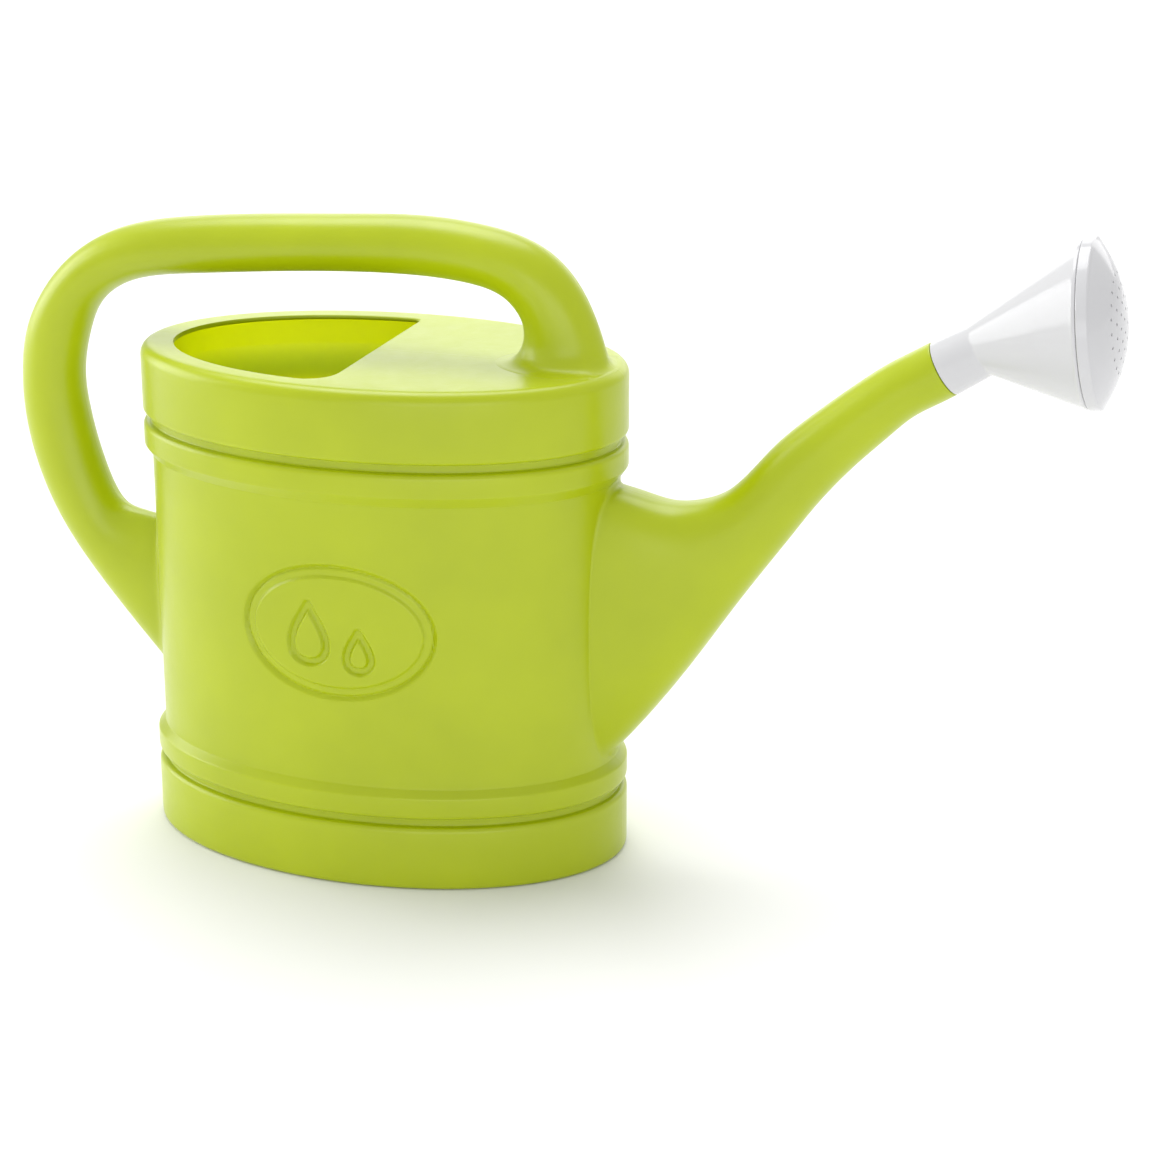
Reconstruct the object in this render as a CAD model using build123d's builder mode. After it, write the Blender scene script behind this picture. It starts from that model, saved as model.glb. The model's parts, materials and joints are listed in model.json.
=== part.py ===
from build123d import *

import os
from math import copysign, cos, pi, radians, sin

# Oval plastic watering can. The tank, the tube handle and the horn spout are regions of one
# blow moulding with the same skin; the rose is a push-fit cone with a clip-on pierced face.
#
# Frame: the origin is the middle of the tank's underside, +X points to the spout and +Z up.
# All sizes are millimetres.

# --- Tank -----------------------------------------------------------------------------------
tank_length = 236.0  # outside the bands, along X
tank_width = 150.6  # outside the bands, along Y
tank_height = 238.0
skin = 2.2  # thickness of the blow moulding
wall_inset = 3.7  # the plain wall lies this far inside the bands
band_round = 2.0
rim_round = 5.0
base_band_height = 31.0
bead_height = 13.0  # each of the two raised beads
band_groove = 4.0  # between a band and the bead beside it
top_band_height = 33.0
region_reach = 4.0  # the tank's base and top regions reach this far onto its plain wall

# --- Fill opening in the rear half of the deck ------------------------------------------------
opening_length = 103.0  # from the straight front edge to the rear
opening_width = 120.0
opening_front_x = -3.0
opening_corner = 9.0

# --- Handle, a tube in the plane Y = 0 --------------------------------------------------------
# Each rib is the (X, Z) of the tube's outer edge and of its inner edge. The ribs of the handle
# and of the spout are drawn on a tank of this length and height, and stretch with it.
drawn_length = 236.0
drawn_height = 238.0
handle_ribs = [
    ((-106.0, 60.0), (-106.0, 143.0)),
    ((-120.0, 76.0), (-122.0, 146.5)),
    ((-155.0, 119.0), (-140.5, 154.0)),
    ((-173.0, 148.0), (-148.0, 172.0)),
    ((-185.0, 188.0), (-153.5, 195.0)),
    ((-185.5, 218.0), (-155.0, 215.0)),
    ((-179.0, 243.0), (-150.5, 235.5)),
    ((-163.5, 265.5), (-143.5, 249.5)),
    ((-141.5, 282.0), (-129.5, 260.0)),
    ((-96.0, 294.0), (-92.5, 267.5)),
    ((-14.0, 300.5), (-13.0, 274.0)),
    ((50.0, 299.5), (46.0, 272.5)),
    ((81.0, 289.5), (62.5, 266.5)),
    ((98.0, 271.5), (69.5, 257.5)),
    ((108.0, 248.0), (70.0, 247.0)),
    ((113.0, 226.0), (65.0, 226.0)),
]
handle_width = 29.0  # across, along Y

# --- Spout, a horn in the plane Y = 0 ---------------------------------------------------------
spout_tilt = 31.2  # degrees above horizontal at the mouth
mouth_x = 263.1  # drawn and stretched as the ribs are
mouth_z = 250.3
mouth_radius = 12.85
mouth_wall = 2.0
bore_length = 20.0  # straight bore that takes the rose's tail
# Each rib is the (X, Z) of the horn's upper edge and of its lower edge, its width across and
# the squareness of its outline, 2 for an ellipse and more for flatter sides.
spout_ribs = [
    ((103.0, 185.0), (103.0, 40.0), 45.0, 3.0),
    ((124.0, 180.5), (129.0, 70.0), 43.0, 3.0),
    ((133.5, 178.3), (150.5, 99.0), 40.0, 2.8),
    ((143.0, 177.5), (169.5, 127.5), 36.0, 2.5),
    ((154.0, 179.5), (184.0, 148.5), 33.0, 2.3),
    ((167.0, 185.5), (195.0, 164.0), 31.0, 2.1),
    ((186.0, 206.0), (208.5, 183.0), 29.0, 2.0),
    ((206.0, 225.0), (225.5, 203.0), 27.5, 2.0),
    ((225.0, 240.5), (241.0, 218.5), 26.2, 2.0),
]

# --- Rose -------------------------------------------------------------------------------------
seat_gap = 0.3  # clear space between pieces that move apart
running_gap = 0.05  # radial, between the rose's tail and its bores
tail_wall = 1.6
tail_depth = 18.0  # reach of the tail into the spout
tail_reach = 12.0  # reach of the tail into the collar
collar_length = 18.0
rose_tilt = 6.8  # degrees above horizontal of the face's axis
rim_reach = 65.9  # along X from the mouth to the middle of the face's skirt edge
rim_rise = 25.1
face_radius = 37.2
face_wall = 1.5
face_skirt = 4.5
dome_height = 11.8
cone_wall = 1.6
lip_thickness = 1.5
lip_step = 0.6  # the lip behind the face is this much smaller than the face
hole_radius = 0.7
hole_ring_radii = [6.5, 11.5, 16.5, 21.5]
hole_spacing = 6.1  # round each ring


# The height of each band's underside.
lower_bead = base_band_height + band_groove
top_band = tank_height - top_band_height
upper_bead = top_band - band_groove - bead_height


def tank_form(depth):
    """The tank's closed form, with its surface drawn in by depth."""
    half_length = tank_length / 2 - depth
    half_width = tank_width / 2 - depth
    bands = [
        (0.0, base_band_height),
        (lower_bead, lower_bead + bead_height),
        (upper_bead, upper_bead + bead_height),
        (top_band, tank_height),
    ]
    with BuildPart() as form:
        with BuildSketch(Plane.XY.offset(depth)):
            Ellipse(half_length - wall_inset, half_width - wall_inset)
        extrude(amount=tank_height - 2 * depth)
        for bottom, top in bands:
            with BuildSketch(Plane.XY.offset(bottom + depth)) as band:
                Ellipse(half_length, half_width)
            extrude(amount=top - bottom - 2 * depth)
        ring = band.sketch.edges()[0].length
        outer_edges = form.edges().filter_by(lambda edge: abs(edge.length - ring) < 0.1)
        fillet(outer_edges.sort_by(Axis.Z)[-1], rim_round - depth)
        if depth < band_round:
            outer_edges = form.edges().filter_by(lambda edge: abs(edge.length - ring) < 0.1)
            fillet(outer_edges.filter_by_position(Axis.Z, -1, tank_height - 1), band_round - depth)
    return form.part


def stretched(point):
    """A drawn (X, Z) point moved with the tank's length and height."""
    return (point[0] * tank_length / drawn_length, point[1] * tank_height / drawn_height)


def rib_plane(first, second):
    """The plane square to the tube that holds both edge points, its own Y from second to first."""
    rise = Vector(first[0] - second[0], 0, first[1] - second[1])
    middle = Vector((first[0] + second[0]) / 2, 0, (first[1] + second[1]) / 2)
    across = Vector(0, 1, 0)
    return Plane(origin=middle, x_dir=across, z_dir=across.cross(rise))


def rib_height(first, second):
    """The tube's size in the plane Y = 0 at a rib."""
    return Vector(first[0] - second[0], first[1] - second[1]).length


def oval_face(plane, half_width, half_height, squareness=2.0, points=24):
    """An oval on the plane, with sides that are flatter the larger its squareness."""
    ring = []
    for step in range(points):
        turn = 2 * pi * (step + 0.5) / points
        x = copysign(abs(cos(turn)) ** (2 / squareness), cos(turn))
        y = copysign(abs(sin(turn)) ** (2 / squareness), sin(turn))
        ring.append((half_width * x, half_height * y))
    with BuildSketch(plane) as section:
        with BuildLine():
            Spline(ring, periodic=True)
        make_face()
    return section.sketch.faces()[0]


def handle_form(depth):
    """The handle's closed form from rib to rib, with its surface drawn in by depth."""
    sections = []
    for outer, inner in handle_ribs:
        outer, inner = stretched(outer), stretched(inner)
        half_height = rib_height(outer, inner) / 2 - depth
        sections.append(oval_face(rib_plane(inner, outer), handle_width / 2 - depth, half_height))
    with BuildPart() as form:
        loft(sections)
    return form.part


mouth_line = Vector(cos(radians(spout_tilt)), 0, sin(radians(spout_tilt)))
mouth_point = stretched((mouth_x, mouth_z))
mouth = Plane(origin=(mouth_point[0], 0, mouth_point[1]), x_dir=(0, 1, 0), z_dir=mouth_line)
rose_line = Vector(cos(radians(rose_tilt)), 0, sin(radians(rose_tilt)))
rim_middle = mouth.origin + Vector(rim_reach, 0, rim_rise)
rim = Plane(origin=rim_middle, x_dir=(0, 1, 0), z_dir=rose_line)


def horn_form(depth):
    """The spout's closed form, with its surface drawn in by depth and its last stretch round."""
    sections = []
    for upper, lower, width, squareness in spout_ribs:
        upper, lower = stretched(upper), stretched(lower)
        half_height = rib_height(upper, lower) / 2 - depth
        plane = rib_plane(upper, lower)
        sections.append(oval_face(plane, width / 2 - depth, half_height, squareness))
    for back in (bore_length, bore_length / 2, 0):
        sections.append(oval_face(mouth.offset(-back), mouth_radius - depth, mouth_radius - depth))
    with BuildPart() as form:
        loft(sections)
    return form.part


def finish(piece, name):
    """Names a finished piece and writes it."""
    piece.part.label = name
    export_step(piece.part, f"parts/{name}.step")


os.makedirs("parts", exist_ok=True)

tank_outside = tank_form(0)
tank_inside = tank_form(skin)
handle_inside = handle_form(skin)
horn_inside = horn_form(skin)

# --- Tank: banded oval shell with the fill opening, open to the handle and the spout ------------
with BuildPart() as tank:
    add(tank_outside)
    add(tank_inside, mode=Mode.SUBTRACT)
    with BuildSketch(Plane.XY.offset(tank_height - 2 * skin)):
        with Locations((opening_front_x, 0)):
            Ellipse(opening_length, opening_width / 2)
        split(bisect_by=Plane.YZ.offset(opening_front_x), keep=Keep.BOTTOM)
        fillet(vertices().group_by(Axis.X)[-1], opening_corner)
    extrude(amount=3 * skin, mode=Mode.SUBTRACT)
    add(handle_inside, mode=Mode.SUBTRACT)
    add(horn_inside, mode=Mode.SUBTRACT)

# --- tank_base, tank_wall, tank_top: the tank's regions, parted across its plain wall --------------
wall_foot = Plane.XY.offset(lower_bead + bead_height + region_reach)
wall_head = Plane.XY.offset(upper_bead - region_reach)
with BuildPart() as tank_base:
    add(tank.part)
    split(bisect_by=wall_foot, keep=Keep.BOTTOM)
finish(tank_base, "tank_base")
with BuildPart() as tank_wall:
    add(tank.part)
    split(bisect_by=wall_foot, keep=Keep.TOP)
    split(bisect_by=wall_head, keep=Keep.BOTTOM)
finish(tank_wall, "tank_wall")
with BuildPart() as tank_top:
    add(tank.part)
    split(bisect_by=wall_head, keep=Keep.TOP)
finish(tank_top, "tank_top")

# --- handle: hollow tube from the rear wall over to the front of the deck ------------------------
with BuildPart() as handle:
    add(handle_form(0))
    add(handle_inside, mode=Mode.SUBTRACT)
    add(tank_outside, mode=Mode.SUBTRACT)
finish(handle, "handle")

# --- spout: hollow horn with a straight bore for the rose's tail ----------------------------------
bore_radius = mouth_radius - mouth_wall
with BuildPart() as spout:
    add(horn_form(0))
    with BuildSketch(mouth.offset(-bore_length)):
        Circle(bore_radius)
    extrude(amount=bore_length + skin, mode=Mode.SUBTRACT)
    add(tank_outside, mode=Mode.SUBTRACT)
    add(horn_inside, mode=Mode.SUBTRACT)
finish(spout, "spout")

# --- rose_tail: the part of the rose that pushes into the spout ---------------------------------
tail_radius = bore_radius - running_gap
tail_bore = tail_radius - tail_wall
with BuildPart() as rose_tail:
    with BuildSketch(mouth.offset(-tail_depth)):
        Circle(tail_radius)
        Circle(tail_bore, mode=Mode.SUBTRACT)
    extrude(amount=tail_depth + tail_reach)
    entry = edges().filter_by(GeomType.CIRCLE).group_by(Axis(mouth.origin, mouth.z_dir))[0]
    chamfer(entry.sort_by(SortBy.RADIUS)[-1], tail_wall / 3)
finish(rose_tail, "rose_tail")

# --- rose_cone: collar, flared cone and the rim that carries the face ----------------------------
skirt_back = -face_skirt - seat_gap
flange_radius = face_radius - face_wall - running_gap
lip_radius = face_radius - lip_step
with BuildPart() as rose_cone:
    with BuildSketch(mouth.offset(seat_gap)):
        Circle(mouth_radius)
    extrude(amount=collar_length - seat_gap)
    with BuildSketch(mouth.offset(collar_length)):
        Circle(mouth_radius)
    with BuildSketch(rim.offset(skirt_back - lip_thickness)):
        Circle(lip_radius)
    loft(ruled=True)
    with BuildSketch(rim.offset(skirt_back - lip_thickness)):
        Circle(lip_radius)
    extrude(amount=lip_thickness)
    with BuildSketch(rim.offset(skirt_back)):
        Circle(flange_radius)
    extrude(amount=face_skirt - face_wall)
    with BuildSketch(mouth.offset(collar_length - cone_wall)):
        Circle(tail_bore)
    with BuildSketch(rim.offset(skirt_back)):
        Circle(flange_radius - cone_wall)
    loft(ruled=True, mode=Mode.SUBTRACT)
    with BuildSketch(rim.offset(skirt_back)):
        Circle(flange_radius - cone_wall)
    extrude(amount=face_skirt, mode=Mode.SUBTRACT)
    with BuildSketch(mouth):
        Circle(tail_bore)
    extrude(amount=collar_length, mode=Mode.SUBTRACT)
    with BuildSketch(mouth):
        Circle(bore_radius)
    extrude(amount=tail_reach + seat_gap, mode=Mode.SUBTRACT)
finish(rose_cone, "rose_cone")

# --- rose_face: domed cap with rings of holes that clips over the cone's rim -----------------------
profile = Plane(origin=rim.origin, x_dir=rim.y_dir, z_dir=(0, 1, 0))
outer_curve = (face_radius**2 + dome_height**2) / (2 * dome_height)
inner_curve = outer_curve - face_wall
crown = dome_height - outer_curve
inner_radius = flange_radius + running_gap
inner_shoulder = crown + (inner_curve**2 - inner_radius**2) ** 0.5
with BuildPart() as rose_face:
    with BuildSketch(profile):
        with BuildLine():
            Line((inner_radius, -face_skirt), (face_radius, -face_skirt))
            Line((face_radius, -face_skirt), (face_radius, 0))
            RadiusArc((face_radius, 0), (0, dome_height), -outer_curve)
            Line((0, dome_height), (0, dome_height - face_wall))
            RadiusArc((0, dome_height - face_wall), (inner_radius, inner_shoulder), inner_curve)
            Line((inner_radius, inner_shoulder), (inner_radius, -face_skirt))
        make_face()
    revolve(axis=Axis(rim.origin, rim.z_dir))
    with BuildSketch(rim):
        Circle(hole_radius)
        for ring_radius in hole_ring_radii:
            with PolarLocations(ring_radius, round(2 * pi * ring_radius / hole_spacing)):
                Circle(hole_radius)
    extrude(amount=dome_height + 1, mode=Mode.SUBTRACT)
finish(rose_face, "rose_face")
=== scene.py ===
import json
import math

import bmesh
import bpy
import numpy as np
from bpy.props import FloatProperty, FloatVectorProperty, IntProperty, PointerProperty
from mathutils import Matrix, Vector
from mathutils.geometry import delaunay_2d_cdt


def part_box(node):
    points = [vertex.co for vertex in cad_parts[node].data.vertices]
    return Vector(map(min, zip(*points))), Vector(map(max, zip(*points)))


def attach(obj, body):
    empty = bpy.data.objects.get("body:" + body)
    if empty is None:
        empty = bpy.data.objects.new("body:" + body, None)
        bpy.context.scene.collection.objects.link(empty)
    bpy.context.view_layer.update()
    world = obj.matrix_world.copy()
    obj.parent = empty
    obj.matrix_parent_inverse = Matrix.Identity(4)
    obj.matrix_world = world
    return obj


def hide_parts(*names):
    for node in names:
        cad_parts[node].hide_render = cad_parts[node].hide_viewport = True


# Oval garden watering can: one satin polyethylene blow moulding, with a tube handle and a horn
# spout grown out of its tank, and a gloss polypropylene rose with a clip-on pierced face.
# Lengths in the code are millimetres in the part's frame; meshes are written in metres.

bl_info = {
    "name": "Watering can",
    "version": (1, 0, 0),
    "blender": (4, 5, 0),
    "location": "3D View > Sidebar > Watering can",
    "description": "Builds the visible pieces of an oval garden watering can round its packed frame",
    "category": "Object",
}

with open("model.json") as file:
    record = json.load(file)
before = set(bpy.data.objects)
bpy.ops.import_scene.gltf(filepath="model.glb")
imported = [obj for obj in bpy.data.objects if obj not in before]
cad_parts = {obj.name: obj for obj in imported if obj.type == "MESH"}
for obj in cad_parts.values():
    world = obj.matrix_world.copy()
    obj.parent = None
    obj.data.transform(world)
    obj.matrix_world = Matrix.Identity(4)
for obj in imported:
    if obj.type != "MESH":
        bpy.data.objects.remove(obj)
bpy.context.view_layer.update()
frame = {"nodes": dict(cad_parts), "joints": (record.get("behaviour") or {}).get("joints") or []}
MM = 0.001
BASE_LOW, BASE_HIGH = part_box("tank_base")
TOP_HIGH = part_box("tank_top")[1]
JOINTS = {joint["name"]: joint for joint in frame["joints"]}

# --- Tank bands: (underside, top) of each, and how far a bead's bevel runs onto the wall ---
BASE_BAND = (0.0, 31.0)
LOWER_BEAD = (35.0, 45.8)
UPPER_BEAD = (190.0, 201.0)
TOP_BAND = (205.0, 238.0)
LOWER_BEVEL_END = 49.0
UPPER_BEVEL_END = 184.8
BAND_EDGE = 2.6
OPENING_FRONT = -3.0
OPENING_HUB = -50.0  # the deck's mesh runs out from here

# --- Handle: (X, Z) of the tube's outer edge and of its inner edge at each rib ---
HANDLE_RIBS = [
    (-106.0, 60.0, -106.0, 143.0), (-120.0, 76.0, -122.0, 146.5),
    (-155.0, 119.0, -140.5, 154.0), (-173.0, 148.0, -148.0, 172.0),
    (-185.0, 188.0, -153.5, 195.0), (-185.5, 218.0, -155.0, 215.0),
    (-179.0, 243.0, -150.5, 235.5), (-163.5, 265.5, -143.5, 249.5),
    (-141.5, 282.0, -129.5, 260.0), (-96.0, 294.0, -92.5, 267.5),
    (-14.0, 300.5, -13.0, 274.0), (50.0, 299.5, 46.0, 272.5),
    (81.0, 289.5, 62.5, 266.5), (98.0, 271.5, 69.5, 257.5),
    (108.0, 248.0, 70.0, 247.0), (113.0, 226.0, 65.0, 226.0),
]

# --- Spout: (X, Z) of its upper edge and of its lower edge, its width and its squareness ---
SPOUT_RIBS = [
    (103.0, 185.0, 103.0, 40.0, 45.0, 3.0), (124.0, 180.5, 129.0, 70.0, 43.0, 3.0),
    (133.5, 178.3, 150.5, 99.0, 40.0, 2.8), (143.0, 177.5, 169.5, 127.5, 36.0, 2.5),
    (154.0, 179.5, 184.0, 148.5, 33.0, 2.3), (167.0, 185.5, 195.0, 164.0, 31.0, 2.1),
    (186.0, 206.0, 208.5, 183.0, 29.0, 2.0), (206.0, 225.0, 225.5, 203.0, 27.5, 2.0),
    (225.0, 240.5, 241.0, 218.5, 26.2, 2.0),
]
BORE_LENGTH = 20.0
MOUTH_WALL = 2.0

# --- Rose ---
RIM_CENTRE = np.array([329.0, 0.0, 275.4])
MOUTH_CENTRE = np.array(JOINTS["rose_turn"]["pos_m"]) / MM
MOUTH_AXIS = np.array(JOINTS["rose_turn"]["axis"])
ROSE_AXIS = np.array(JOINTS["face_pull"]["axis"])
HOLE_RINGS = [6.5, 11.5, 16.5, 21.5]


def linear(code):
    """An sRGB hex colour as linear red, green and blue."""
    parts = [int(code[at : at + 2], 16) / 255 for at in (1, 3, 5)]
    return tuple(c / 12.92 if c <= 0.04045 else ((c + 0.055) / 1.055) ** 2.4 for c in parts)


# === Sizes and colours ===


def length_property(name, description, default):
    """A length that a user can change, in metres."""
    return FloatProperty(name=name, description=description, default=default, unit="LENGTH")


def colour_property(name, description, code):
    """A colour that a user can change, from its sRGB hex value."""
    return FloatVectorProperty(
        name=name, description=description, default=linear(code), subtype="COLOR"
    )


class CanSizes(bpy.types.PropertyGroup):
    """Sizes of the watering can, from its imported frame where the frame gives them."""

    tank_length: length_property(
        "Tank length", "Outside the bands, along X", BASE_HIGH.x - BASE_LOW.x
    )
    tank_width: length_property("Tank width", "Outside the bands, along Y", BASE_HIGH.y - BASE_LOW.y)
    tank_height: length_property("Tank height", "Floor to deck", TOP_HIGH.z)
    skin: length_property("Skin", "Thickness of the blow moulding", 0.0022)
    wall_inset: length_property("Wall inset", "Depth of the plain wall behind the bands", 0.0037)
    rim_round: length_property("Rim rounding", "Radius round the deck's edge", 0.0055)
    opening_length: length_property("Opening length", "Straight front edge to the rear", 0.099)
    opening_width: length_property("Opening width", "Across the fill opening", 0.12)
    opening_corner: length_property(
        "Opening corner", "Front corner on the mark's side, trimmed wide", 0.014
    )
    opening_far_corner: length_property(
        "Opening far corner", "The other front corner, trimmed tight", 0.004
    )
    handle_width: length_property("Handle width", "Across the tube, along Y", 0.029)
    leg_fillet: length_property("Front leg fillet", "Where the handle grows out of the deck", 0.011)
    root_fillet: length_property("Rear root fillet", "Where the handle grows out of the wall", 0.005)
    spout_fillet: length_property("Spout fillet", "Where the spout grows out of the wall", 0.0015)
    mouth_radius: length_property("Mouth radius", "Outside the spout's end", 0.01285)
    face_radius: length_property("Rose face radius", "Outside the face's skirt", 0.0372)
    dome_height: length_property("Rose dome height", "Crown of the face above its skirt", 0.0118)
    hole_radius: length_property("Hole radius", "Each hole in the face", 0.0007)
    mark_depth: length_property("Mark depth", "Depth of the moulded oval mark", 0.0018)
    columns: IntProperty(
        name="Columns", description="Mesh columns round the handle and the spout",
        default=72, min=24, max=160,
    )


class CanColours(bpy.types.PropertyGroup):
    """Colours of the two plastics and of the stage."""

    body: colour_property("Body", "Lime green polyethylene", "#B0BF02")
    body_deep: colour_property(
        "Body, thick", "The same plastic where the skin is thicker", "#A9B801"
    )
    # Painted light: the inside is a lighter, brighter copy of the body's colour, painted to stand in
    # for daylight through the skin.
    inside: colour_property("Inside", "The same plastic with daylight behind it", "#D8E302")
    rose: colour_property("Rose", "White polypropylene", "#CCCCCE")
    floor: colour_property("Floor", "Plain pale paper", "#EFEFEF")


# === Mesh tools ===


CORNER_SHARE = 0.78  # the most of a run beside a corner that its rounding takes
FINE_RISE = 20.0  # a run that rises less than this isn't divided finely
SHARP_DEGREES = 32  # faces that meet at more than this keep a sharp edge


def rounded(corners, steps=5):
    """Corners (across, along, radius) of an open line, as points with each corner rounded."""
    points = []
    for place, (x, y, radius) in enumerate(corners):
        here = np.array([x, y])
        if radius == 0 or place in (0, len(corners) - 1):
            points.append(here)
            continue
        back = np.array(corners[place - 1][:2]) - here
        ahead = np.array(corners[place + 1][:2]) - here
        back_length, ahead_length = np.linalg.norm(back), np.linalg.norm(ahead)
        back, ahead = back / back_length, ahead / ahead_length
        half = math.acos(np.clip(back @ ahead, -1, 1)) / 2
        longest = CORNER_SHARE * min(back_length, ahead_length)
        reach = min(radius / math.tan(half), longest)
        radius = reach * math.tan(half)
        middle = (back + ahead) / np.linalg.norm(back + ahead)
        centre = here + middle * radius / math.sin(half)
        first, last = here + back * reach - centre, here + ahead * reach - centre
        turn = math.pi - 2 * half
        for step in range(steps + 1):
            share = step / steps
            weights = math.sin((1 - share) * turn), math.sin(share * turn)
            points.append(centre + (first * weights[0] + last * weights[1]) / math.sin(turn))
    return np.array(points)


def divided(points, gap, fine_range=None, fine_gap=None):
    """The line with more points on its long runs, closer still between two heights."""
    out = [points[0]]
    for first, last in zip(points[:-1], points[1:]):
        run = np.linalg.norm(last - first)
        cuts = list(np.linspace(0, 1, max(1, math.ceil(run / gap)) + 1)[1:])
        if fine_range and abs(last[1] - first[1]) > FINE_RISE:
            rise = last[1] - first[1]
            low, high = ((level - first[1]) / rise for level in fine_range)
            if 0 < low < 1 and 0 < high < 1:
                fine = np.linspace(low, high, math.ceil((high - low) * run / fine_gap))
                cuts = sorted([c for c in cuts if c < low or c > high] + list(fine))
        out += [first + (last - first) * cut for cut in cuts]
    return np.array(out)


def smooth_through(stations, values, at):
    """Values at any stations on the natural cubic spline through the given ones."""
    stations, values = np.asarray(stations, float), np.asarray(values, float)
    gaps, count = np.diff(stations), len(stations)
    system, right = np.eye(count), np.zeros(count)
    for k in range(1, count - 1):
        system[k, k - 1 : k + 2] = gaps[k - 1], 2 * (gaps[k - 1] + gaps[k]), gaps[k]
        slopes = np.diff(values[k - 1 : k + 2]) / gaps[k - 1 : k + 1]
        right[k] = 6 * (slopes[1] - slopes[0])
    bend = np.linalg.solve(system, right)
    k = np.clip(np.searchsorted(stations, at) - 1, 0, count - 2)
    ahead, behind, gap = stations[k + 1] - at, at - stations[k], gaps[k]
    return (
        (bend[k] * ahead**3 + bend[k + 1] * behind**3) / (6 * gap)
        + (values[k] / gap - bend[k] * gap / 6) * ahead
        + (values[k + 1] / gap - bend[k + 1] * gap / 6) * behind
    )


def ring_faces(ring_count, columns, wrap=False):
    """Quads between rings of equal length, joining the last ring to the first if asked."""
    here = np.arange(ring_count if wrap else ring_count - 1)[:, None] * columns
    there = (here + columns) % (ring_count * columns)
    column = np.arange(columns)[None]
    after = (column + 1) % columns
    quads = np.stack([here + column, here + after, there + after, there + column], -1)
    return quads.reshape(-1, 4).tolist()


def capped_faces(ring_count, columns):
    """The first ring's cap, the quads between rings, and the last ring's cap."""
    last = (ring_count - 1) * columns
    first_cap, last_cap = list(range(columns))[::-1], list(range(last, last + columns))
    return [first_cap, *ring_faces(ring_count, columns), last_cap]


def new_object(name, data):
    """An object in the scene that holds a mesh, a lamp or a camera."""
    item = bpy.data.objects.new(name, data)
    bpy.context.scene.collection.objects.link(item)
    return item


def smooth_shaded(mesh, sharp_degrees=SHARP_DEGREES):
    """Shades a mesh smooth between its sharp edges."""
    mesh.shade_smooth()
    mesh.set_sharp_from_angle(angle=math.radians(sharp_degrees))


def new_mesh_object(name, points, faces, material, sharp_degrees=SHARP_DEGREES):
    """A smooth-shaded object from a closed mesh in millimetres, its faces turned outward."""
    mesh = bpy.data.meshes.new(name)
    mesh.from_pydata((np.asarray(points) * MM).tolist(), [], faces)
    mesh.validate()
    smooth_shaded(mesh, sharp_degrees)
    mesh.materials.append(material)
    work = bmesh.new()
    work.from_mesh(mesh)
    bmesh.ops.recalc_face_normals(work, faces=work.faces)
    work.to_mesh(mesh)
    work.free()
    return new_object(name, mesh)


def axis_rings(centre, axis, line, columns):
    """Rings about an axis: each line point is (radius, distance along the axis)."""
    axis = np.asarray(axis) / np.linalg.norm(axis)
    side = np.array([0.0, 1.0, 0.0])
    up = np.cross(axis, side)
    turn = 2 * math.pi * np.arange(columns) / columns
    around = np.outer(np.cos(turn), side) + np.outer(np.sin(turn), up)
    return [centre + axis * along + around * radius for radius, along in line]


# === Materials ===


# The Mix node's two colours and its mixed colour, by number because their names repeat in it.
MIX_FIRST, MIX_SECOND, MIX_COLOUR = 6, 7, 2


def add_node(tree, kind, settings=None, inputs=None):
    """A node with its settings; an input is a value, or a node and the key of its output."""
    node = tree.nodes.new(kind)
    for name, value in (settings or {}).items():
        setattr(node, name, value)
    for name, value in (inputs or {}).items():
        if isinstance(value, tuple) and isinstance(value[0], bpy.types.Node):
            tree.links.new(value[0].outputs[value[1]], node.inputs[name])
        else:
            node.inputs[name].default_value = value
    return node


def new_material(name):
    """An empty node material with its object coordinates."""
    material = bpy.data.materials.new(name)
    material.use_nodes = True
    tree = material.node_tree
    tree.nodes.clear()
    place = add_node(tree, "ShaderNodeTexCoord")
    return material, tree, (place, "Object")


def per_metre(size_mm):
    """The texture scale that gives a pattern of this size."""
    return 1 / (size_mm * MM)


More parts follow.
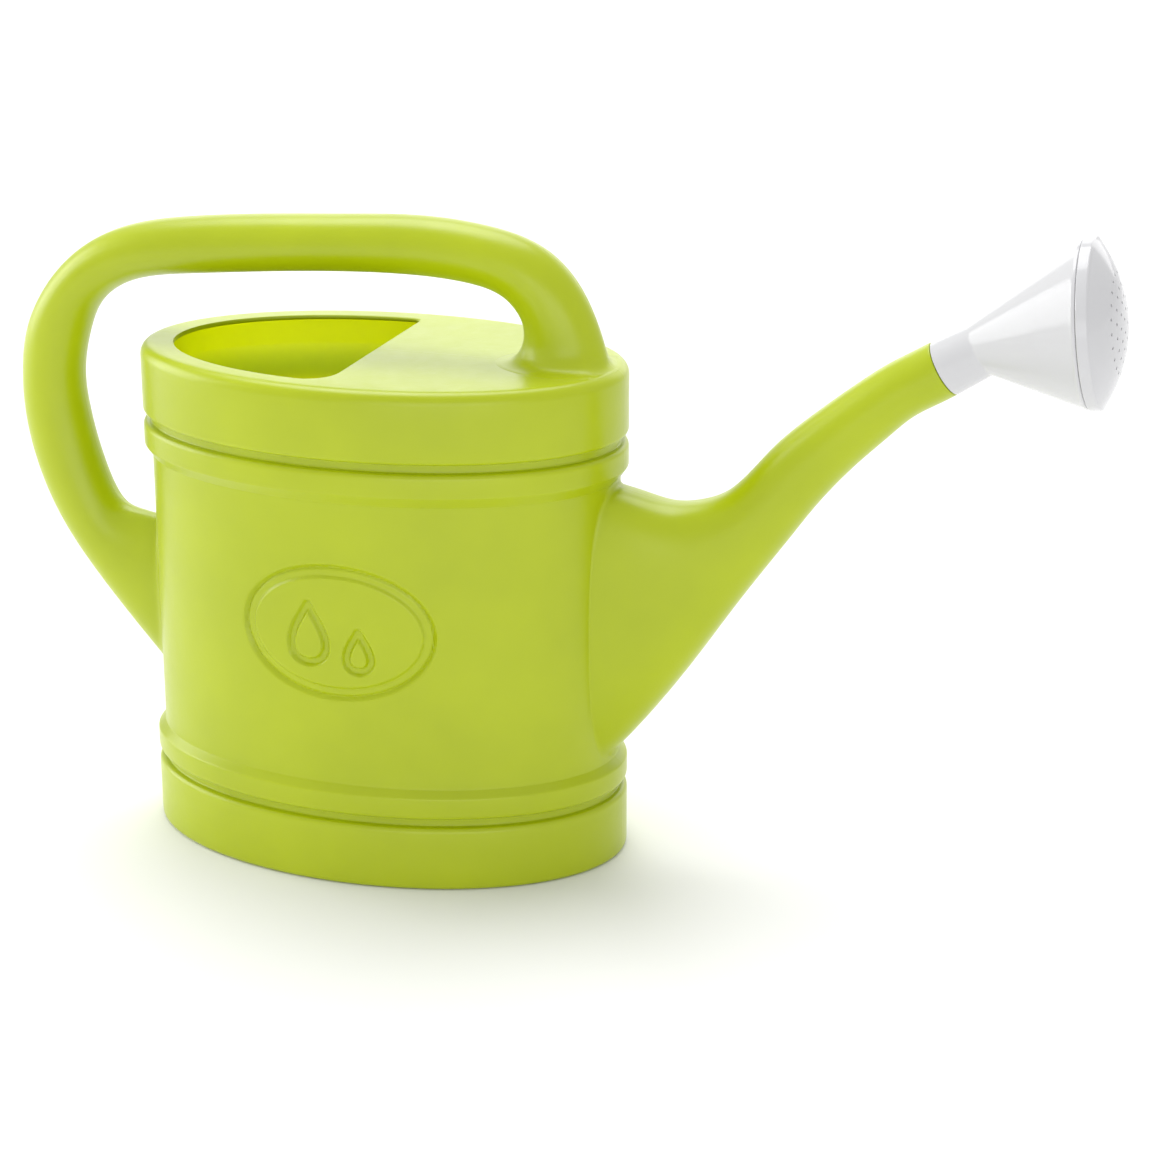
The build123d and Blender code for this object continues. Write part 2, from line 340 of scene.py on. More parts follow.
def blow_moulded_polyethylene(colours):
    """Satin blow-moulded polyethylene: soft broad highlights over a faint orange peel, a little
    colour drift where the skin is thicker, and light carried through its thin skin."""
    material, tree, place = new_material("blow_moulded_polyethylene")
    drift = add_node(tree, "ShaderNodeTexNoise", {"noise_dimensions": "3D"},
                     {"Vector": place, "Scale": per_metre(70), "Detail": 3.0, "Roughness": 0.55})
    thick = add_node(tree, "ShaderNodeMapRange", None,
                     {"Value": (drift, "Fac"), "From Min": 0.35, "From Max": 0.65})
    tint = add_node(tree, "ShaderNodeMix", {"data_type": "RGBA"},
                    {"Factor": (thick, "Result"), MIX_FIRST: (*colours.body, 1),
                     MIX_SECOND: (*colours.body_deep, 1)})
    scuff = add_node(tree, "ShaderNodeTexNoise", None,
                     {"Vector": place, "Scale": per_metre(9), "Detail": 6.0, "Roughness": 0.7})
    rough = add_node(tree, "ShaderNodeMapRange", None,
                     {"Value": (scuff, "Fac"), "From Min": 0.3, "From Max": 0.7,
                      "To Min": 0.28, "To Max": 0.36})
    # Orange peel: 2.4 mm swells from the blown skin, with the mould's 0.8 mm blasted grain.
    peel = add_node(tree, "ShaderNodeTexNoise", None,
                    {"Vector": place, "Scale": per_metre(2.4), "Detail": 2.0})
    grain = add_node(tree, "ShaderNodeTexNoise", None,
                     {"Vector": place, "Scale": per_metre(0.8), "Detail": 1.0})
    swell = add_node(tree, "ShaderNodeBump", None,
                     {"Height": (peel, "Fac"), "Strength": 0.12, "Distance": 0.0003})
    fine = add_node(tree, "ShaderNodeBump", None,
                    {"Height": (grain, "Fac"), "Strength": 0.1, "Distance": 0.00015,
                     "Normal": (swell, "Normal")})
    # The mould's parting line, a 0.5 mm thread of flash along the can's plane of symmetry.
    split = add_node(tree, "ShaderNodeSeparateXYZ", None, {"Vector": place})
    side = add_node(tree, "ShaderNodeMath", {"operation": "ABSOLUTE"}, {0: (split, "Y")})
    flash = add_node(tree, "ShaderNodeMapRange", {"interpolation_type": "SMOOTHSTEP"},
                     {"Value": (side, "Value"), "From Min": 0.0001, "From Max": 0.0005,
                      "To Min": 1.0, "To Max": 0.0})
    line = add_node(tree, "ShaderNodeBump", None,
                    {"Height": (flash, "Result"), "Strength": 0.5, "Distance": 0.0001,
                     "Normal": (fine, "Normal")})
    shader = add_node(tree, "ShaderNodeBsdfPrincipled", None,
                      {"Base Color": (tint, MIX_COLOUR), "Roughness": (rough, "Result"),
                       "IOR": 1.51, "Normal": (line, "Normal"),
                       "Sheen Weight": 0.15, "Sheen Roughness": 0.25,
                       "Subsurface Weight": 0.15, "Subsurface Scale": 0.0015,
                       "Subsurface Radius": (1.0, 1.0, 0.15)})
    add_node(tree, "ShaderNodeOutputMaterial", None, {"Surface": (shader, "BSDF")})
    return material


def polyethylene_lit_through(colours):
    """The inside of the blown skin, its colour painted lighter than the outside's as painted light for
    daylight coming through the wall, with random swirls a shade deeper.
    """
    material, tree, place = new_material("polyethylene_lit_through")
    swirl = add_node(tree, "ShaderNodeTexNoise", None,
                     {"Vector": place, "Scale": per_metre(30), "Detail": 3.0})
    # Painted light: this colour is the body's plastic painted lighter for daylight through the wall;
    # the swirl only varies it at random.
    tint = add_node(tree, "ShaderNodeMix", {"data_type": "RGBA"},
                    {"Factor": (swirl, "Fac"), MIX_FIRST: (*colours.inside, 1),
                     MIX_SECOND: (*[c * 0.94 for c in colours.inside], 1)})
    ripple = add_node(tree, "ShaderNodeBump", None,
                      {"Height": (swirl, "Fac"), "Strength": 0.1, "Distance": 0.0005})
    shader = add_node(tree, "ShaderNodeBsdfPrincipled", None,
                      {"Base Color": (tint, MIX_COLOUR), "Roughness": 0.5, "IOR": 1.51,
                       "Normal": (ripple, "Normal"),
                       "Subsurface Weight": 1.0, "Subsurface Scale": 0.008,
                       "Subsurface Radius": (1.0, 1.0, 0.1)})
    add_node(tree, "ShaderNodeOutputMaterial", None, {"Surface": (shader, "BSDF")})
    return material


def injection_moulded_polypropylene(colours):
    """Gloss injection-moulded polypropylene: crisp long reflections, with faint flow marks."""
    material, tree, place = new_material("injection_moulded_polypropylene")
    flow = add_node(tree, "ShaderNodeTexNoise", None,
                    {"Vector": place, "Scale": per_metre(14), "Detail": 4.0, "Distortion": 0.6})
    rough = add_node(tree, "ShaderNodeMapRange", None,
                     {"Value": (flow, "Fac"), "From Min": 0.3, "From Max": 0.7,
                      "To Min": 0.1, "To Max": 0.16})
    tint = add_node(tree, "ShaderNodeMix", {"data_type": "RGBA"},
                    {"Factor": (flow, "Fac"), MIX_FIRST: (*colours.rose, 1),
                     MIX_SECOND: (*[c * 0.97 for c in colours.rose], 1)})
    sink = add_node(tree, "ShaderNodeTexNoise", None,
                    {"Vector": place, "Scale": per_metre(5), "Detail": 1.0})
    bump = add_node(tree, "ShaderNodeBump", None,
                    {"Height": (sink, "Fac"), "Strength": 0.06, "Distance": 0.0002})
    shader = add_node(tree, "ShaderNodeBsdfPrincipled", None,
                      {"Base Color": (tint, MIX_COLOUR), "Roughness": (rough, "Result"),
                       "IOR": 1.49, "Normal": (bump, "Normal")})
    add_node(tree, "ShaderNodeOutputMaterial", None, {"Surface": (shader, "BSDF")})
    return material


def matte_paper(colours):
    """Matte seamless paper, which only catches the can's soft shadow."""
    material, tree, place = new_material("matte_paper")
    tooth = add_node(tree, "ShaderNodeTexNoise", None,
                     {"Vector": place, "Scale": per_metre(1.5), "Detail": 2.0})
    bump = add_node(tree, "ShaderNodeBump", None,
                    {"Height": (tooth, "Fac"), "Strength": 0.02, "Distance": 0.0001})
    shader = add_node(tree, "ShaderNodeBsdfPrincipled", None,
                      {"Base Color": (*colours.floor, 1), "Roughness": 0.9,
                       "Specular IOR Level": 0.1, "Normal": (bump, "Normal")})
    add_node(tree, "ShaderNodeOutputMaterial", None, {"Surface": (shader, "BSDF")})
    return material


def finish_of(maker):
    """The material that a function makes, made the first time it is asked for."""
    found = bpy.data.materials.get(maker.__name__)
    return found or maker(bpy.context.scene.can_colours)


# === The tank's surface ===


class TankForm:
    """The tank's outside: its band profile and the nearest point on its wall or deck."""

    def __init__(self, sizes):
        self.half_length = sizes.tank_length / MM / 2
        self.half_width = sizes.tank_width / MM / 2
        self.height = sizes.tank_height / MM
        self.skin = sizes.skin / MM
        self.inset = sizes.wall_inset / MM
        self.rim = sizes.rim_round / MM
        self.line = self.outer_line()

    def outer_line(self):
        """The side's outside as (inset, height), base to deck."""
        wall, top = self.inset, self.height
        return rounded([
            (6, BASE_BAND[0], 0), (0, BASE_BAND[0], 2.5), (0, BASE_BAND[1], BAND_EDGE),
            (wall, BASE_BAND[1], 0.7), (wall, LOWER_BEAD[0], 0.7),
            (0, LOWER_BEAD[0], BAND_EDGE), (0, LOWER_BEAD[1], 1.6),
            (wall, LOWER_BEVEL_END, 0.9), (wall, UPPER_BEVEL_END, 0.9),
            (0, UPPER_BEAD[0], 1.6), (0, UPPER_BEAD[1], BAND_EDGE),
            (wall, UPPER_BEAD[1], 0.7), (wall, TOP_BAND[0], 0.7),
            (0, TOP_BAND[0], BAND_EDGE), (0, top, self.rim), (self.rim + 2, top, 0),
        ])

    def inner_line(self):
        """The side's inside, deck to base, which bridges the beads and the grooves."""
        skin, wall = self.skin, self.inset + self.skin
        floor, deck = BASE_BAND[0] + skin, self.height - skin
        return rounded([
            (self.rim + skin + 2, deck, 0), (skin, deck, self.rim - skin),
            (skin, TOP_BAND[0] + 16, 8), (wall, TOP_BAND[0] - 2, 8),
            (wall, BASE_BAND[1] + 2, 8), (skin, BASE_BAND[1] - 18, 8),
            (skin, floor, 2.5), (skin + 6, floor, 0),
        ])

    def inset_at(self, height):
        """How far the side lies inside the bands at a height under the rim's rounding."""
        level = np.clip(height, 3, self.height - self.rim)
        return np.interp(level, self.line[:, 1], self.line[:, 0])

    def on_wall(self, points, depth=0.0):
        """The points moved straight in or out onto the side, then in by depth."""
        inset = self.inset_at(points[..., 2]) + depth
        across = np.hypot(
            points[..., 0] / (self.half_length - inset), points[..., 1] / (self.half_width - inset)
        )
        out = points.copy()
        out[..., 0] /= across
        out[..., 1] /= across
        return out

    def outside_wall(self, points):
        """Above zero outside the side."""
        inset = self.inset_at(points[..., 2])
        return np.hypot(
            points[..., 0] / (self.half_length - inset), points[..., 1] / (self.half_width - inset)
        ) - 1

    def rim_inset(self, points):
        """How far inside the bands' oval a point lies, seen from above."""
        across = np.hypot(points[..., 0] / self.half_length, points[..., 1] / self.half_width)
        return (1 - across) * np.hypot(points[..., 0], points[..., 1]) / np.maximum(across, 0.01)

    def on_deck(self, points, depth=0.0):
        """The points moved up or down onto the deck or its rounded rim, then down by depth."""
        drop = np.clip(self.rim - self.rim_inset(points), 0, self.rim)
        out = points.copy()
        out[..., 2] = self.height - self.rim + np.sqrt(self.rim**2 - drop**2) - depth
        return out

    def outside_deck(self, points):
        """Above zero over the deck."""
        return points[..., 2] - self.on_deck(points)[..., 2]

    def wall_normal(self, points):
        """The side's outward direction."""
        inset = self.inset_at(points[..., 2])
        normal = np.zeros_like(points)
        normal[..., 0] = points[..., 0] / (self.half_length - inset) ** 2
        normal[..., 1] = points[..., 1] / (self.half_width - inset) ** 2
        return normal / np.linalg.norm(normal, axis=-1, keepdims=True)


# === The moulded mark ===

# Along the side from X = 0, and up: the middle and half sizes of the two ovals of the ring.
RING_MIDDLE = (2.9, 122.95)
OUTER_OVAL = (47.6, 31.95)
INNER_OVAL = (41.4, 26.95)
DROP_MIDDLE = (-10.5, 121.5)
DROP_HALF = (9.6, 14.0)
SMALL_DROP_MIDDLE = (14.0, 114.5)
SMALL_DROP_HALF = (6.4, 9.4)
STROKE = 3.4


def oval_distance(along, up, middle, half):
    """Signed distance from an oval, near it."""
    x, y = (along - middle[0]) / half[0], (up - middle[1]) / half[1]
    level = np.hypot(x, y)
    slope = np.hypot(x / half[0], y / half[1]) / np.maximum(level, 1e-6)
    return (level - 1) / np.maximum(slope, 1e-6)


def groove(distance, width, soft):
    """One inside a stroke of this width and zero outside it, with soft shoulders."""
    share = np.clip((width / 2 + soft / 2 - np.abs(distance)) / soft, 0, 1)
    return share * share * (3 - 2 * share)


def mark_depth(along, up, depth):
    """The mark's depth: an oval ring round two water drops."""
    outer = oval_distance(along, up, RING_MIDDLE, OUTER_OVAL)
    inner = oval_distance(along, up, RING_MIDDLE, INNER_OVAL)
    channel = groove((outer + inner) / 2, (OUTER_OVAL[0] - INNER_OVAL[0]) * 0.92, 1.5)
    total = 0.7 * channel + 0.35 * groove(outer + 1.0, 1.2, 0.8)
    turn = np.linspace(0, 2 * math.pi, 240)
    nearest = np.full(along.shape, 99.0)
    drops = ((DROP_MIDDLE, DROP_HALF), (SMALL_DROP_MIDDLE, SMALL_DROP_HALF))
    for middle, half in drops:
        drop_x = middle[0] + half[0] * np.sin(turn) * np.abs(np.sin(turn / 2)) ** 1.3 * 1.25
        drop_y = middle[1] + half[1] * np.cos(turn)
        for x, y in zip(drop_x, drop_y):
            nearest = np.minimum(nearest, np.hypot(along - x, up - y))
    return depth * (total + groove(nearest, STROKE, 1.3))


# === Tank ===


MARK_SPAN = (-50.0, 56.0)  # the stretch of the side that the mark is on, from X = 0
MARKED_COLUMNS, PLAIN_COLUMNS = 160, 156
MARK_REACH = 34.5  # rings this far above and below the mark's middle are close together
MARK_STEP = 0.62
# (inset, height) of rings from the middle of the underside to its edge, and across the inside of
# the floor, where both are measured from the skin.
UNDERSIDE = [(26.0, 1.6), (15.0, 1.6), (13.5, 1.2), (11.5, 0.4), (10.0, 0.0)]
INSIDE_FLOOR = [(13.0, 0.0), (17.0, 1.6), (26.0, 1.6)]


def tank_columns(form):
    """Angles round the oval, and each one's distance along the side from X = 0 at the front."""
    fine = np.linspace(0, 2 * math.pi, 20001)
    a, b = form.half_length - form.inset, form.half_width - form.inset
    speed = np.hypot(a * np.sin(fine), b * np.cos(fine))
    run = np.concatenate([[0], np.cumsum((speed[1:] + speed[:-1]) / 2 * np.diff(fine))])
    start = np.interp(1.5 * math.pi, fine, run)
    first, last = MARK_SPAN
    marked = np.linspace(first, last, MARKED_COLUMNS, endpoint=False)
    plain = np.linspace(last, run[-1] + first, PLAIN_COLUMNS, endpoint=False)
    along = np.concatenate([marked, plain])
    angles = np.interp((start + along) % run[-1], run, fine)
    return angles, along


def opening_line(sizes, inset=0.0):
    """The fill opening's outline, front middle round to the front middle."""
    length, half_width = sizes.opening_length / MM, sizes.opening_width / MM / 2
    length, half_width, front = length + inset, half_width + inset, OPENING_FRONT + inset

    def half(corner_radius):
        radius = corner_radius / MM + inset
        level = half_width * math.sqrt(1 - (radius / length) ** 2) - radius
        turn = np.linspace(0, math.pi / 2, 40)
        corner = np.stack([front - radius + radius * np.cos(turn), level + radius * np.sin(turn)], 1)
        sweep = np.linspace(math.asin(radius / length), math.pi / 2, 400)
        rear = np.stack([front - length * np.sin(sweep), half_width * np.cos(sweep)], 1)
        edge = np.stack([np.full(80, front), np.linspace(0, level, 80)], 1)
        return np.concatenate([edge, corner[1:], rear[1:]])

    far, near = half(sizes.opening_far_corner), half(sizes.opening_corner)
    return np.concatenate([far, near[-2:0:-1] * (1, -1)])


def opening_ring(line, rays):
    """Points where rays from the hub cross the opening's outline."""
    angle = np.unwrap(np.arctan2(line[:, 1], line[:, 0] - OPENING_HUB))
    reach = np.hypot(line[:, 0] - OPENING_HUB, line[:, 1])
    turned = rays % (2 * math.pi)
    distance = np.interp(turned, angle, reach, period=2 * math.pi)
    return np.stack([OPENING_HUB + distance * np.cos(rays), distance * np.sin(rays)], 1)


def tank_mesh(form, sizes):
    """The tank as rings: floor, banded side, rim, deck, opening, and back down the inside.

    Also gives the first face of the inside.
    """
    angles, along = tank_columns(form)
    columns = len(angles)
    cosine, sine = np.cos(angles), np.sin(angles)

    def ring(inset, level):
        x = (form.half_length - inset) * cosine
        y = (form.half_width - inset) * sine
        return np.stack([x, y, np.broadcast_to(level, x.shape)], 1)

    def flat_ring(flat, level):
        return np.column_stack([flat, np.full(columns, level)])

    low, high = RING_MIDDLE[1] - MARK_REACH, RING_MIDDLE[1] + MARK_REACH
    rings = [ring(inset, level) for inset, level in UNDERSIDE]
    for inset, level in divided(form.line, 9.0, (low, high), MARK_STEP):
        near = low - 0.1 < level < high + 0.1
        mark = mark_depth(along, np.full(columns, level), sizes.mark_depth / MM) if near else 0
        rings.append(ring(inset + mark, level))

    rim = rings[-1][:, :2]
    rays = np.arctan2(rim[:, 1], rim[:, 0] - OPENING_HUB)
    edge = form.skin / 2  # the opening's edge is a half circle of this radius
    lip = opening_ring(opening_line(sizes, edge * 1.6), rays)
    for share in np.linspace(0, 1, 8)[1:]:
        rings.append(flat_ring(rim * (1 - share) + lip * share, form.height))
    for turn in np.linspace(0, math.pi, 9):
        flat = opening_ring(opening_line(sizes, edge * (1 - math.sin(turn))), rays)
        rings.append(flat_ring(flat, form.height - edge + edge * math.cos(turn)))

    inner_from = 1 + (len(rings) - 1) * columns
    inner = form.inner_line()
    under = ring(*inner[0])[:, :2]
    rings.append(flat_ring((rings[-1][:, :2] + under) / 2, form.height - form.skin))
    rings += [ring(inset, level) for inset, level in divided(inner, 22.0)]
    rings += [ring(form.skin + inset, form.skin + level) for inset, level in INSIDE_FLOOR]
    return np.concatenate(rings), capped_faces(len(rings), columns), inner_from


# === Tubes ===


class Tube:
    """A smooth tube in the plane Y = 0 through ribs of (outer X, Z, inner X, Z, width, squareness)."""

    def __init__(self, ribs):
        self.ribs = np.array(ribs, float)
        middle = (self.ribs[:, :2] + self.ribs[:, 2:4]) / 2
        gaps = np.linalg.norm(np.diff(middle, axis=0), axis=1)
        self.stations = np.concatenate([[0], np.cumsum(gaps)])
        self.length = self.stations[-1]

    def points(self, station, turn, depth=0.0):
        """Points at stations and turns round the section, drawn in by depth."""
        value = [smooth_through(self.stations, column, station) for column in self.ribs.T]
        outer = np.stack([value[0], value[1]], -1)
        inner = np.stack([value[2], value[3]], -1)
        rise = outer - inner
        height = np.linalg.norm(rise, axis=-1)
        rise = rise / height[..., None]
        power = 2 / np.maximum(value[5], 2)
        across = np.sign(np.cos(turn)) * np.abs(np.cos(turn)) ** power
        up = np.sign(np.sin(turn)) * np.abs(np.sin(turn)) ** power
        middle = (outer + inner) / 2 + rise * (up * (height / 2 - depth))[..., None]
        return np.stack([middle[..., 0], across * (value[4] / 2 - depth), middle[..., 1]], -1)

    def rings(self, grid, turns, depth=0.0):
        """One ring of points for each row of stations."""
        return list(self.points(grid, np.broadcast_to(turns, grid.shape), depth))


SINK = 0.5  # a fillet's edge ends this far under the surface
PLUG_SINK = 1.1  # a tube's hidden end lies this far under it, inside the skin
HANDLE_RINGS, SPOUT_RINGS, SPOUT_INSIDE_RINGS = 230, 130, 60


def section_turns(columns):
    """The turns of a tube's columns round its section, none on its plane of symmetry."""
    return 2 * math.pi * (np.arange(columns) + 0.5) / columns


def crossing(tube, turns, outside, low, high, depth=0.0, samples=161):
    """The station where each line of the tube crosses out of a surface, from low towards high."""
    samples = np.linspace(low, high, samples)
    grid = np.broadcast_to(samples[:, None], (len(samples), len(turns)))
    level = outside(tube.points(grid, np.broadcast_to(turns, grid.shape), depth))
    first = np.argmax(level > 0, axis=0)
    columns = np.arange(len(turns))
    before, after = level[first - 1, columns], level[first, columns]
    return samples[first - 1] + (samples[first] - samples[first - 1]) * before / (before - after)


def skirt(start, base, end, surface, steps=9):
    """Rings of a fillet from the tube down to the surface, ending just under it."""
    rings = []
    for share in np.linspace(0, 1, steps):
        bend = (1 - share) ** 2 * start + 2 * share * (1 - share) * base + share**2 * end
        rings.append(bend)
    rings.append(surface(end + (end - base) * 0.08, SINK))
    return rings


def outward(base, middle, normal):
    """The direction along a surface away from the middle of a closed line on it."""
    along = np.roll(base, -1, axis=0) - np.roll(base, 1, axis=0)
    side = np.cross(along, normal)
    side /= np.linalg.norm(side, axis=1, keepdims=True)
    flip = np.sign(np.einsum("ij,ij->i", side, base - middle))
    return side * flip[:, None]


def hidden_end(ring, surface, steps=4):
    """Rings that close a tube inside the skin, from its edge to near its middle."""
    centre = ring.mean(0)
    shares = np.linspace(0, 1, steps + 2)[:-1]
    return [surface(ring * (1 - s) + centre * s, PLUG_SINK) for s in shares]


def handle_mesh(form, sizes):
    """The handle from its rear root on the wall, over the opening, to its leg on the deck."""
    columns = sizes.columns
    tube = Tube([(*rib, sizes.handle_width / MM, 2.0) for rib in HANDLE_RIBS])
    turns = section_turns(columns)
    root = crossing(tube, turns, form.outside_wall, 0, tube.length * 0.2)
    leg = crossing(tube, turns, form.outside_deck, tube.length, tube.length * 0.9)

    root_base = form.on_wall(tube.points(root, turns))
    normal = form.wall_normal(root_base)
    fillet = sizes.root_fillet / MM
    root_end = root_base + outward(root_base, root_base.mean(0), normal) * fillet
    root_end = form.on_wall(root_end)

    leg_base = form.on_deck(tube.points(leg, turns))
    away = leg_base - leg_base.mean(0)
    away[:, 2] = 0
    away /= np.linalg.norm(away, axis=1, keepdims=True)
    leg_fillet = np.full(columns, sizes.leg_fillet / MM)
    for _ in range(60):
        end = leg_base + away * leg_fillet[:, None]
        leg_fillet = np.where(form.rim_inset(end) < form.rim * 0.55, leg_fillet * 0.94, leg_fillet)
    leg_fillet = np.maximum(leg_fillet, 1.2)
    ease = (np.roll(leg_fillet, 1) + 2 * leg_fillet + np.roll(leg_fillet, -1)) / 4
    leg_end = form.on_deck(leg_base + away * ease[:, None])

    first, last = root + fillet * 1.1, leg - ease * 1.1
    shares = np.linspace(0, 1, HANDLE_RINGS)[:, None]
    body = tube.rings(first + (last - first) * shares, turns)
    rear = skirt(body[0], root_base, root_end, form.on_wall)
    front = skirt(body[-1], leg_base, leg_end, form.on_deck)
    rear_end, front_end = hidden_end(root_base, form.on_wall), hidden_end(leg_base, form.on_deck)
    rings = rear_end[::-1] + rear[:0:-1] + body + front[1:] + front_end
    return np.concatenate(rings), capped_faces(len(rings), columns)


def spout_tube(sizes):
    """The horn's tube, with three round sections at its mouth."""
    radius = sizes.mouth_radius / MM
    axis = np.array([MOUTH_AXIS[0], MOUTH_AXIS[2]])
    rise = np.array([-axis[1], axis[0]])
    ribs = list(SPOUT_RIBS)
    for back in (BORE_LENGTH, BORE_LENGTH / 2, 0):
        centre = MOUTH_CENTRE[[0, 2]] - axis * back
        ribs.append((*(centre + rise * radius), *(centre - rise * radius), 2 * radius, 2.0))
    return Tube(ribs)


def spout_mesh(form, sizes):
    """The spout's double skin: root on the wall, mouth, straight bore and back down inside."""
    columns = sizes.columns
    tube = spout_tube(sizes)
    turns = section_turns(columns)
    root = crossing(tube, turns, form.outside_wall, 0, tube.length * 0.4)
    inner_root = crossing(tube, turns, form.outside_wall, 0, tube.length * 0.4, form.skin)

    base = form.on_wall(tube.points(root, turns))
    normal = form.wall_normal(base)
    upright = np.abs(np.sin(turns))
    fillet = sizes.spout_fillet / MM * (0.45 + 1.3 * upright**3)
    end = base + outward(base, base.mean(0), normal) * fillet[:, None]
    end = form.on_wall(end)

    radius = sizes.mouth_radius / MM
    lip = 0.5  # the mouth's outer edge is rounded by this much
    first = root + fillet * 1.2
    shares = np.linspace(0, 1, SPOUT_RINGS)[:, None]
    outer = tube.rings(first + (tube.length - lip - first) * shares, turns)
    foot = skirt(outer[0], base, end, form.on_wall)

    side, rise = np.array([0.0, 1.0, 0.0]), np.array([-MOUTH_AXIS[2], 0.0, MOUTH_AXIS[0]])
    around = np.outer(np.cos(turns), side) + np.outer(np.sin(turns), rise)
    bore = radius - MOUTH_WALL
    round_line = [(radius - lip * (1 - math.cos(t)), lip * (math.sin(t) - 1))
                  for t in np.linspace(0, math.pi / 2, 5)[1:]]
    bore_line = [(bore + 0.3, 0), (bore, -0.3), (bore, -BORE_LENGTH + 0.2)]
    mouth = [MOUTH_CENTRE + MOUTH_AXIS * along + around * reach
             for reach, along in round_line + bore_line]

    first = tube.length - BORE_LENGTH - 0.4
    shares = np.linspace(0, 1, SPOUT_INSIDE_RINGS)[:, None]
    inner = tube.rings(first + (inner_root + 0.6 - first) * shares, turns, form.skin)
    inner_end = form.on_wall(tube.points(inner_root, turns, form.skin), 0.6)
    rings = foot[:0:-1] + outer + mouth + inner + [inner_end]
    return np.concatenate(rings), ring_faces(len(rings), columns, wrap=True)


def spout_passage(form, sizes):
    """A closed form of the spout's inside at its root, which opens the tank's wall."""
    columns = sizes.columns
    tube = spout_tube(sizes)
    turns = section_turns(columns)
    reach = np.linspace(0, 30, 12)[:, None]  # millimetres along the spout, well past the wall
    rings = tube.rings(np.broadcast_to(reach, (len(reach), columns)), turns, form.skin)
    return np.concatenate(rings), capped_faces(len(rings), columns)


def cut_away(piece, cutter):
    """Cuts one closed mesh out of another and removes the cutter."""
    change = piece.modifiers.new("passage", "BOOLEAN")
    change.operation = "DIFFERENCE"
    change.solver = "EXACT"
    change.object = cutter
    graph = bpy.context.evaluated_depsgraph_get()
    mesh = bpy.data.meshes.new_from_object(piece.evaluated_get(graph))
    old = piece.data
    piece.modifiers.clear()
    piece.data = mesh
    bpy.data.meshes.remove(old)
    bpy.data.objects.remove(cutter)
    smooth_shaded(mesh)


# === Rose ===

FACE_SKIRT = 4.5
FACE_WALL = 1.5
SEAT_GAP = 0.3
COLLAR_LENGTH = 18.4
COLLAR_TAPER = 0.7
COLLAR_FLOOR = 16.4  # the collar's narrow bore ends here
TAIL_SEAT = 12.3  # its wide bore, which takes the tail, ends here
TAIL_BORE = 9.2
RUNNING_GAP = 0.05
LIP_STEP = 0.6  # the lip behind the face is this much smaller than the face
FLANGE_WALL = 1.6
HOLE_SPACING = 6.1
HOLE_SIDES = 16
GUARD_SHARE = 1.9  # points stand round each hole at this many times its radius
DISC_STEP = 1.3
FACE_EDGE = 0.9  # the rounding between the dome and the skirt
NARROWING_FROM = 26.0  # the face's inside draws in from this radius to meet its skirt
ROSE_COLUMNS = 144


def rose_cone_mesh(sizes):
    """Collar, oblique flared cone, lip and flange, and the hollow inside."""
    columns = ROSE_COLUMNS
    radius = sizes.mouth_radius / MM
    face = sizes.face_radius / MM
    flange = face - FACE_WALL - RUNNING_GAP
    back = -FACE_SKIRT - SEAT_GAP
    lip = face - LIP_STEP
    small = radius - COLLAR_TAPER
    edge = [(radius - 0.5 + 0.5 * math.sin(t), SEAT_GAP + 0.5 - 0.5 * math.cos(t))
            for t in np.linspace(0, math.pi / 2, 5)]
    taper = [(radius + (small - radius) * s, SEAT_GAP + 0.5 + (COLLAR_LENGTH - 1.5) * s)
             for s in np.linspace(0, 1, 5)[1:]]
    collar = axis_rings(MOUTH_CENTRE, MOUTH_AXIS, edge + taper, columns)
    crease = axis_rings(MOUTH_CENTRE, MOUTH_AXIS, [(small, COLLAR_LENGTH)], columns)[0]
    lip_rings = axis_rings(RIM_CENTRE, ROSE_AXIS, [
        (lip - 0.25, back - 1.7), (lip - 0.05, back - 1.5), (lip, back - 1.2), (lip, back - 0.3),
        (lip - 0.3, back), (flange, back), (flange, -FACE_WALL - 0.3),
        (flange - 0.3, -FACE_WALL), (flange - FLANGE_WALL, -FACE_WALL),
        (flange - FLANGE_WALL, back),
    ], columns)
    start = lip_rings[0]
    cone = [crease * (1 - s) + start * s for s in (0.02, *np.linspace(0.06, 0.97, 24))]
    inner = axis_rings(MOUTH_CENTRE, MOUTH_AXIS, [
        (TAIL_BORE, COLLAR_FLOOR), (TAIL_BORE, TAIL_SEAT), (radius - MOUTH_WALL, TAIL_SEAT),
        (radius - MOUTH_WALL, SEAT_GAP + 0.3), (radius - MOUTH_WALL + 0.3, SEAT_GAP),
    ], columns)
    rings = collar + [crease * 0.7 + cone[0] * 0.3] + cone + lip_rings + inner
    return np.concatenate(rings), ring_faces(len(rings), columns, wrap=True)


def circle(radius, count, middle=(0.0, 0.0)):
    """Points round a flat circle."""
    turns = 2 * math.pi * np.arange(count) / count
    return [(middle[0] + radius * math.cos(t), middle[1] + radius * math.sin(t)) for t in turns]


def hole_middles():
    """The middle hole, and the rings of holes round it."""
    holes = [(0.0, 0.0)]
    for ring in HOLE_RINGS:
        holes += circle(ring, round(2 * math.pi * ring / HOLE_SPACING))
    return holes


def runs_clockwise(flat, triangle):
    """Whether a flat triangle runs clockwise."""
    a, b, c = (flat[k] for k in triangle)
    return (b[0] - a[0]) * (c[1] - a[1]) <= (b[1] - a[1]) * (c[0] - a[0])


